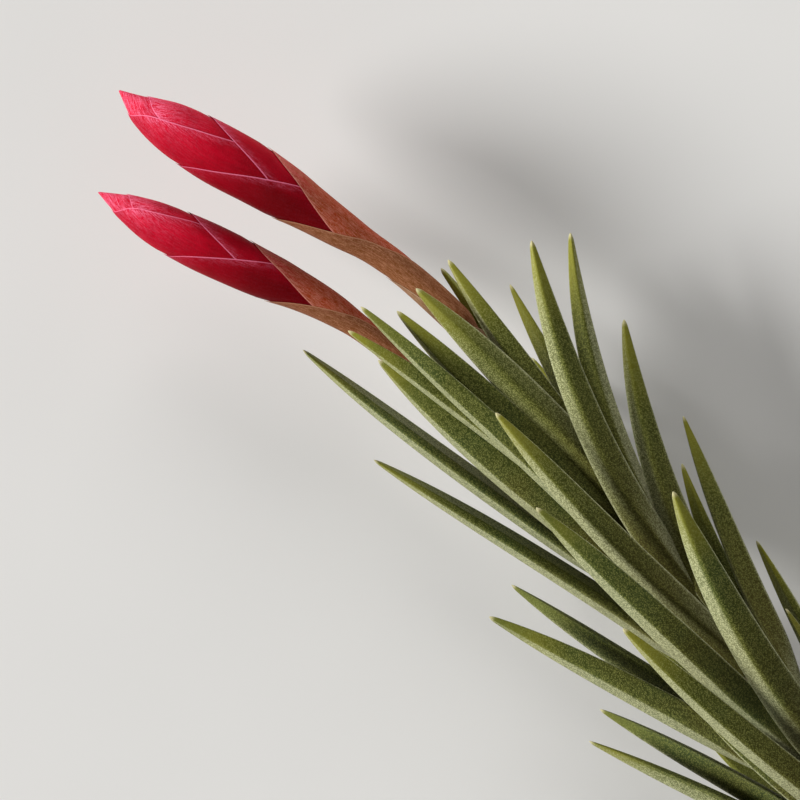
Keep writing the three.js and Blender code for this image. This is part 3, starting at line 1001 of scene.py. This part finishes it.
class TILLANDSIA_OT_scapes(Operator):
    """Make the stalk inside each flower spike"""

    bl_idname = "tillandsia.scapes"
    bl_label = "Scapes"

    def execute(self, context):
        for name in SPIKE_LINES:
            make_scape(Spike(name), name, bract_finish("straw"))
        return {"FINISHED"}


class TILLANDSIA_OT_bracts(Operator):
    """Make the overlapping bracts of each flower spike, outermost first"""

    bl_idname = "tillandsia.bracts"
    bl_label = "Bracts"

    def execute(self, context):
        for name in SPIKE_LINES:
            spike = Spike(name)
            for index, bract in enumerate(BRACTS):
                make_bract(spike, name, index, bract_finish(bract.finish))
        return {"FINISHED"}


class TILLANDSIA_OT_buds(Operator):
    """Make the closed bud at the top of each flower spike"""

    bl_idname = "tillandsia.buds"
    bl_label = "Buds"

    def execute(self, context):
        for name in SPIKE_LINES:
            make_bud(Spike(name), name, bract_finish("crimson"))
        return {"FINISHED"}


class TILLANDSIA_OT_studio(Operator):
    """Make the floor, the lights and the camera"""

    bl_idname = "tillandsia.studio"
    bl_label = "Studio"

    def execute(self, context):
        settings = context.scene.tillandsia_studio
        make_floor(settings)
        make_sky(context.scene, settings)
        make_sun("key", bearing=183, height=25, strength=settings.key, softness=22)
        make_sun("fill", bearing=100, height=20, strength=settings.fill, softness=40)
        make_camera(context.scene)
        context.scene.view_settings.view_transform = "Standard"
        return {"FINISHED"}


def make_floor(settings):
    bm = bmesh.new()
    bmesh.ops.create_grid(bm, x_segments=1, y_segments=1, size=FLOOR_REACH)
    mesh = bpy.data.meshes.new("floor")
    bm.to_mesh(mesh)
    bm.free()
    mesh.materials.append(floor_material(settings.floor))
    floor = bpy.data.objects.new("floor", mesh)
    bpy.context.scene.collection.objects.link(floor)


def make_sky(scene, settings):
    """Even light from all round, which the camera sees as a pale wall."""
    world = bpy.data.worlds.new("studio")
    world.use_nodes = True
    tree = world.node_tree
    sky = tree.nodes["Background"]
    set_inputs(tree, sky, Color=DAYLIGHT, Strength=settings.sky)
    wall = add_node(tree, "ShaderNodeBackground", Color=(*settings.floor, 1), Strength=settings.wall)
    seen = add_node(tree, "ShaderNodeLightPath").outputs["Is Camera Ray"]
    both = add_node(tree, "ShaderNodeMixShader")
    for value, socket in zip((seen, sky.outputs[0], wall.outputs[0]), both.inputs):
        connect(tree, value, socket)
    set_inputs(tree, tree.nodes["World Output"], Surface=both.outputs[0])
    scene.world = world


def in_photo(degrees):
    """The direction on the floor that is at an angle in the photograph, 0 to its right and 90 up."""
    angle = CAMERA_TURN + math.radians(degrees)
    return Vector((math.cos(angle), math.sin(angle), 0))


def make_sun(name, bearing, height, strength, softness):
    """A far light, from a bearing in the photograph and a height above the floor, in degrees."""
    lamp = bpy.data.lights.new(name, "SUN")
    lamp.energy = strength
    lamp.angle = math.radians(softness)
    light = bpy.data.objects.new(name, lamp)
    up = math.radians(height)
    away = in_photo(bearing) * math.cos(up) + UP * math.sin(up)
    light.rotation_euler = away.to_track_quat("Z", "Y").to_euler()
    bpy.context.scene.collection.objects.link(light)


def make_camera(scene):
    lens = bpy.data.cameras.new("camera")
    lens.sensor_width = SENSOR
    lens.lens = SENSOR * CAMERA_HEIGHT / (PHOTO_PIXELS * PIXEL)
    lens.clip_start, lens.clip_end = CAMERA_SEES
    camera = bpy.data.objects.new("camera", lens)
    camera.location = STEM_TOP + Vector((*PHOTO_MIDDLE, CAMERA_HEIGHT)) * MM
    camera.rotation_euler = (0, 0, CAMERA_TURN)
    scene.collection.objects.link(camera)
    scene.camera = camera


class TILLANDSIA_PT_panel(Panel):
    """Lists the pieces of the shoot and its settings"""

    bl_idname = "TILLANDSIA_PT_panel"
    bl_label = "Tillandsia shoot"
    bl_space_type = "VIEW_3D"
    bl_region_type = "UI"
    bl_category = "Tillandsia"

    def draw(self, context):
        for settings in (context.scene.tillandsia, context.scene.tillandsia_studio):
            for key in settings.__annotations__:
                self.layout.prop(settings, key)
        for operator in OPERATORS:
            self.layout.operator(operator.bl_idname)


OPERATORS = (
    TILLANDSIA_OT_stem,
    TILLANDSIA_OT_leaves,
    TILLANDSIA_OT_scapes,
    TILLANDSIA_OT_bracts,
    TILLANDSIA_OT_buds,
    TILLANDSIA_OT_studio,
)
CLASSES = (TillandsiaSettings, StudioSettings, *OPERATORS, TILLANDSIA_PT_panel)


def register():
    for cls in CLASSES:
        bpy.utils.register_class(cls)
    bpy.types.Scene.tillandsia = PointerProperty(type=TillandsiaSettings)
    bpy.types.Scene.tillandsia_studio = PointerProperty(type=StudioSettings)


def unregister():
    del bpy.types.Scene.tillandsia_studio
    del bpy.types.Scene.tillandsia
    for cls in reversed(CLASSES):
        bpy.utils.unregister_class(cls)


def main():
    register()
    bpy.ops.tillandsia.stem()
    bpy.ops.tillandsia.leaves()
    bpy.ops.tillandsia.scapes()
    bpy.ops.tillandsia.bracts()
    bpy.ops.tillandsia.buds()
    bpy.ops.tillandsia.studio()


if __name__ == "__main__":
    main()
